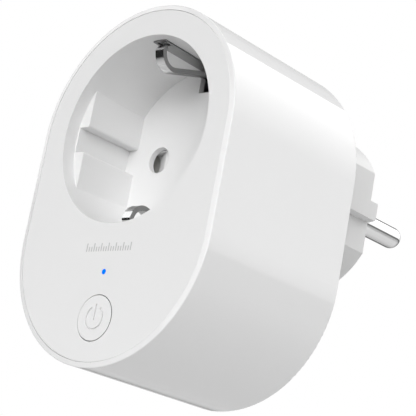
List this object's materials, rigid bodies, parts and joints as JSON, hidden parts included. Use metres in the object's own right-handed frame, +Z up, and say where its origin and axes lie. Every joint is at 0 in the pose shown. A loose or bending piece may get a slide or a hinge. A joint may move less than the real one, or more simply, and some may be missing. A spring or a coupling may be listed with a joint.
{
  "type": "smart plug",
  "caption": "Plug-through smart mains adapter: earthed round socket in a stadium-shaped white housing, power button, status light and a two-pin plug at the back.",
  "frame": {"origin": "centre of the plug's engagement face, half way between the two pins, where it meets the wall outlet", "axes": "+X to the right seen from the front, +Y along the pins into the wall outlet, +Z up"},
  "size_m": [0.0516, 0.0761, 0.0736],
  "materials": {
    "housing": "gloss",
    "panel": "satin",
    "label": "satin",
    "plug_body": "satin",
    "pin_metal": "polished nickel plate",
    "earth_metal": "nickel plate",
    "busbar_metal": "satin",
    "contact_brass": "satin",
    "carrier": "satin",
    "shutter": "satin",
    "spring_steel": "bright",
    "button": "satin",
    "light_lens": "clear blue",
    "led_chip": "gloss",
    "board": "solder mask",
    "radio_board": "solder mask",
    "black_plastic": "matte",
    "plunger": "matte",
    "shield_metal": "tinned",
    "header_metal": "gold flash",
    "relay_plastic": "matte",
    "relay_iron": "satin",
    "copper_winding": "enamelled copper",
    "capacitor_sleeve": "shrink sleeve",
    "filter_box": "gloss",
    "varistor_coat": "epoxy",
    "fuse_body": "ceramic glass",
    "ferrite": "ferrite",
    "winding_tape": "polyester tape",
    "shunt_metal": "manganin",
    "screw_steel": "zinc plate"
  },
  "bodies": {
    "plug": {"housing_shell": "housing", "front_panel": "panel", "rating_label": "label", "plug_base": "plug_body", "plug_pin_left": "pin_metal", "plug_pin_right": "pin_metal", "plug_earth_bracket": "earth_metal", "live_busbar": "busbar_metal", "neutral_busbar": "busbar_metal", "socket_contact_left": "contact_brass", "socket_contact_right": "contact_brass", "contact_carrier": "carrier", "shutter_spring": "spring_steel", "earth_bracket": "earth_metal", "earth_link": "busbar_metal", "light_pipe": "light_lens", "status_light": "led_chip", "control_board": "board", "switch_body": "black_plastic", "radio_board": "radio_board", "radio_shield": "shield_metal", "link_pins": "header_metal", "link_blocks": "black_plastic", "main_board": "board", "relay_base": "relay_plastic", "relay_case": "relay_plastic", "relay_coil": "copper_winding", "relay_yoke": "relay_iron", "relay_fixed_contact": "contact_brass", "bulk_capacitor": "capacitor_sleeve", "filter_capacitor": "filter_box", "varistor": "varistor_coat", "fuse": "fuse_body", "transformer_core": "ferrite", "transformer_winding": "winding_tape", "inductor": "copper_winding", "rectifier": "black_plastic", "current_shunt": "shunt_metal", "plug_base_screws": "screw_steel", "carrier_screws": "screw_steel", "main_board_screws": "screw_steel", "control_board_screws": "screw_steel"},
    "power_button": {"power_button": "button"},
    "switch_plunger": {"switch_plunger": "plunger"},
    "safety_shutter": {"safety_shutter": "shutter"},
    "upper_earth_clip": {"earth_clip_upper": "earth_metal"},
    "lower_earth_clip": {"earth_clip_lower": "earth_metal"},
    "relay_armature": {"relay_armature": "relay_iron", "relay_moving_contact": "contact_brass"}
  },
  "joints": [
    {"name": "button_press", "type": "slide", "parent": "plug", "child": "power_button", "axis": [0, 1, 0], "range_m": [0, 0.0004], "stiffness_N_per_m": 400, "springref_m": -0.002},
    {"name": "switch_press", "type": "slide", "parent": "plug", "child": "switch_plunger", "axis": [0, 1, 0], "range_m": [0, 0.0004]},
    {"name": "shutter_slide", "type": "slide", "parent": "plug", "child": "safety_shutter", "axis": [1, 0, 0], "range_m": [0, 0.0057], "stiffness_N_per_m": 120, "springref_m": -0.004, "deforming": ["shutter_spring"]},
    {"name": "upper_clip_flex", "type": "hinge", "parent": "plug", "child": "upper_earth_clip", "pos_m": [0, -0.0383, 0.01825], "axis": [-1, 0, 0], "range_deg": [0, 12], "stiffness_Nm_per_rad": 0.5, "springref_deg": -2.86},
    {"name": "lower_clip_flex", "type": "hinge", "parent": "plug", "child": "lower_earth_clip", "pos_m": [0, -0.0383, -0.01825], "axis": [1, 0, 0], "range_deg": [0, 12], "stiffness_Nm_per_rad": 0.5, "springref_deg": -2.86},
    {"name": "relay_pull_in", "type": "hinge", "parent": "plug", "child": "relay_armature", "pos_m": [-0.0183, -0.0366, -0.0265], "axis": [0, 0, 1], "range_deg": [0, 3.3], "stiffness_Nm_per_rad": 0.05, "springref_deg": -5.73}
  ],
  "couplings": [
    {"joint": "switch_press", "follows": "button_press", "ratio": 1}
  ]
}
